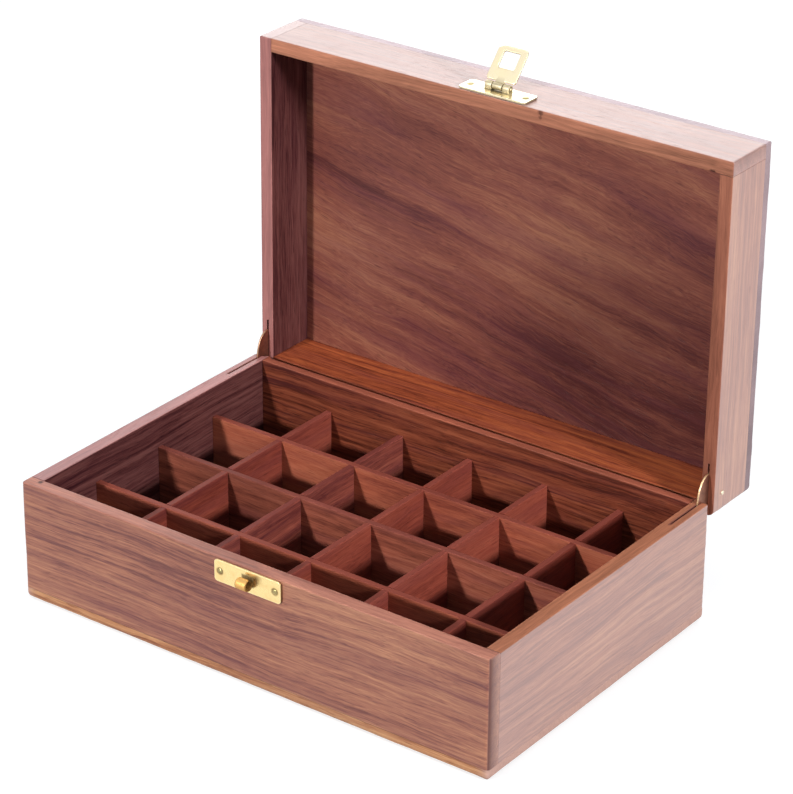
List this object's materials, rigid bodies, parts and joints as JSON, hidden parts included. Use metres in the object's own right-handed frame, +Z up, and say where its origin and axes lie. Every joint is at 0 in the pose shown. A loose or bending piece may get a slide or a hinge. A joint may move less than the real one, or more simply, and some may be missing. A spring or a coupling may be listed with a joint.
{
  "type": "essential oil storage box",
  "caption": "Wooden box with a hinged lid, half-lapped dividers that make cells for small oil bottles, plate hinges in saw kerfs, and a brass hasp over a rolled catch.",
  "frame": {"origin": "middle of the underside of the bottom board", "axes": "+X to the right across the front, +Y to the back, +Z up; the lid stands open as at rest"},
  "size_m": [0.2414, 0.2001, 0.2224],
  "materials": {
    "outer_wood": "waxed dark red wood with purple-brown streaks, satin",
    "inner_wood": "waxed reddish brown wood, satin",
    "divider_wood": "thin reddish brown boards, satin",
    "bottom_wood": "golden brown sapwood edge, satin",
    "brass": "stamped brass, bright",
    "hinge_metal": "dull brass sheet with bright edges",
    "nail_metal": "small round nails, slightly worn"
  },
  "bodies": {
    "base": {"bottom_board": "bottom_wood", "front_wall": "outer_wood", "back_wall": "inner_wood", "left_wall": "outer_wood", "right_wall": "outer_wood", "long_divider_1": "divider_wood", "long_divider_2": "divider_wood", "long_divider_3": "divider_wood", "cross_divider_1": "divider_wood", "cross_divider_2": "divider_wood", "cross_divider_3": "divider_wood", "cross_divider_4": "divider_wood", "cross_divider_5": "divider_wood", "catch_plate": "brass", "catch_plate_nail_left": "nail_metal", "catch_plate_nail_right": "nail_metal", "hinge_pin_left": "hinge_metal", "hinge_pin_right": "hinge_metal"},
    "lid": {"top_board": "inner_wood", "lid_front_wall": "outer_wood", "lid_back_wall": "inner_wood", "lid_left_wall": "outer_wood", "lid_right_wall": "outer_wood", "hinge_plate_left": "hinge_metal", "hinge_plate_right": "hinge_metal", "hinge_nail_left": "nail_metal", "hinge_nail_right": "nail_metal", "hasp_plate": "brass", "hasp_plate_nail_left": "nail_metal", "hasp_plate_nail_right": "nail_metal", "hasp_pin": "brass"},
    "hasp": {"hasp_leaf": "brass"}
  },
  "joints": [
    {"name": "lid_hinge", "type": "hinge", "parent": "base", "child": "lid", "pos_m": [0, 0.0767, 0.0497], "axis": [1, 0, 0], "range_deg": [0, 90.35]},
    {"name": "hasp_hinge", "type": "hinge", "parent": "lid", "child": "hasp", "pos_m": [0.0022, 0.08937, 0.20883], "axis": [1, 0, 0], "range_deg": [-49, 131]}
  ]
}
